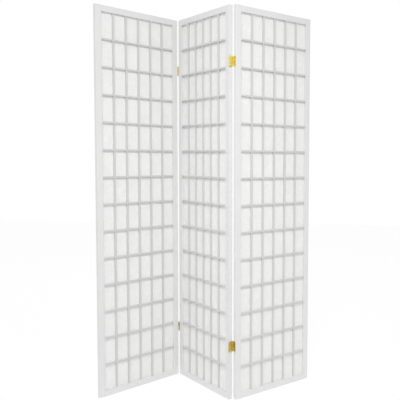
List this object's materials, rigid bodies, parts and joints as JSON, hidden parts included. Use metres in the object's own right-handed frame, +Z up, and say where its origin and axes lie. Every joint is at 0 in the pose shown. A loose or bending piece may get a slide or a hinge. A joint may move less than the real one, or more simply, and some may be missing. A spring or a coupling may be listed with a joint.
{
  "type": "folding screen",
  "caption": "Free-standing folding room divider: lattice panels backed with translucent paper, joined by two-way brass hinges that fold either way.",
  "frame": {"origin": "middle of the footprint, on the floor, with the panels folded as they stand", "axes": "+Z up; -Y towards the front, where the lattice is flush with the frame; +X to the right along the zigzag"},
  "size_m": [0.9548, 0.347, 1.784],
  "materials": {
    "frame_wood": "white satin lacquer",
    "lattice_wood": "white satin lacquer",
    "shoji_paper": "matte translucent paper",
    "hinge_brass": "satin brass plate",
    "pin_brass": "satin",
    "screw_brass": "satin"
  },
  "bodies": {
    "centre_panel": {"centre_panel_left_stile": "frame_wood", "centre_panel_right_stile": "frame_wood", "centre_panel_top_rail": "frame_wood", "centre_panel_bottom_rail": "frame_wood", "centre_panel_vertical_bars": "lattice_wood", "centre_panel_horizontal_bars": "lattice_wood", "centre_panel_paper": "shoji_paper", "left_upper_hinge_inner_leaf": "hinge_brass", "left_upper_hinge_inner_screws": "screw_brass", "left_lower_hinge_inner_leaf": "hinge_brass", "left_lower_hinge_inner_screws": "screw_brass", "right_upper_hinge_inner_leaf": "hinge_brass", "right_upper_hinge_inner_screws": "screw_brass", "right_lower_hinge_inner_leaf": "hinge_brass", "right_lower_hinge_inner_screws": "screw_brass"},
    "left_links": {"left_upper_hinge_link": "hinge_brass", "left_upper_hinge_front_pin": "pin_brass", "left_upper_hinge_back_pin": "pin_brass", "left_lower_hinge_link": "hinge_brass", "left_lower_hinge_front_pin": "pin_brass", "left_lower_hinge_back_pin": "pin_brass"},
    "left_panel": {"left_panel_left_stile": "frame_wood", "left_panel_right_stile": "frame_wood", "left_panel_top_rail": "frame_wood", "left_panel_bottom_rail": "frame_wood", "left_panel_vertical_bars": "lattice_wood", "left_panel_horizontal_bars": "lattice_wood", "left_panel_paper": "shoji_paper", "left_upper_hinge_outer_leaf": "hinge_brass", "left_upper_hinge_outer_screws": "screw_brass", "left_lower_hinge_outer_leaf": "hinge_brass", "left_lower_hinge_outer_screws": "screw_brass"},
    "right_links": {"right_upper_hinge_link": "hinge_brass", "right_upper_hinge_front_pin": "pin_brass", "right_upper_hinge_back_pin": "pin_brass", "right_lower_hinge_link": "hinge_brass", "right_lower_hinge_front_pin": "pin_brass", "right_lower_hinge_back_pin": "pin_brass"},
    "right_panel": {"right_panel_left_stile": "frame_wood", "right_panel_right_stile": "frame_wood", "right_panel_top_rail": "frame_wood", "right_panel_bottom_rail": "frame_wood", "right_panel_vertical_bars": "lattice_wood", "right_panel_horizontal_bars": "lattice_wood", "right_panel_paper": "shoji_paper", "right_upper_hinge_outer_leaf": "hinge_brass", "right_upper_hinge_outer_screws": "screw_brass", "right_lower_hinge_outer_leaf": "hinge_brass", "right_lower_hinge_outer_screws": "screw_brass"}
  },
  "joints": [
    {"name": "left_back_pin", "type": "hinge", "parent": "centre_panel", "child": "left_links", "pos_m": [-0.16559, 0.17064, 0.247], "axis": [0, 0, 1], "range_deg": [-90, 0]},
    {"name": "left_front_pin", "type": "hinge", "parent": "left_links", "child": "left_panel", "pos_m": [-0.18044, 0.15579, 0.247], "axis": [0, 0, 1], "range_deg": [-94.5, 85.5]},
    {"name": "right_front_pin", "type": "hinge", "parent": "centre_panel", "child": "right_links", "pos_m": [0.12913, -0.15378, 0.247], "axis": [0, 0, 1], "range_deg": [-90, 0]},
    {"name": "right_back_pin", "type": "hinge", "parent": "right_links", "child": "right_panel", "pos_m": [0.14398, -0.13893, 0.247], "axis": [0, 0, 1], "range_deg": [-87.5, 92.5]}
  ]
}
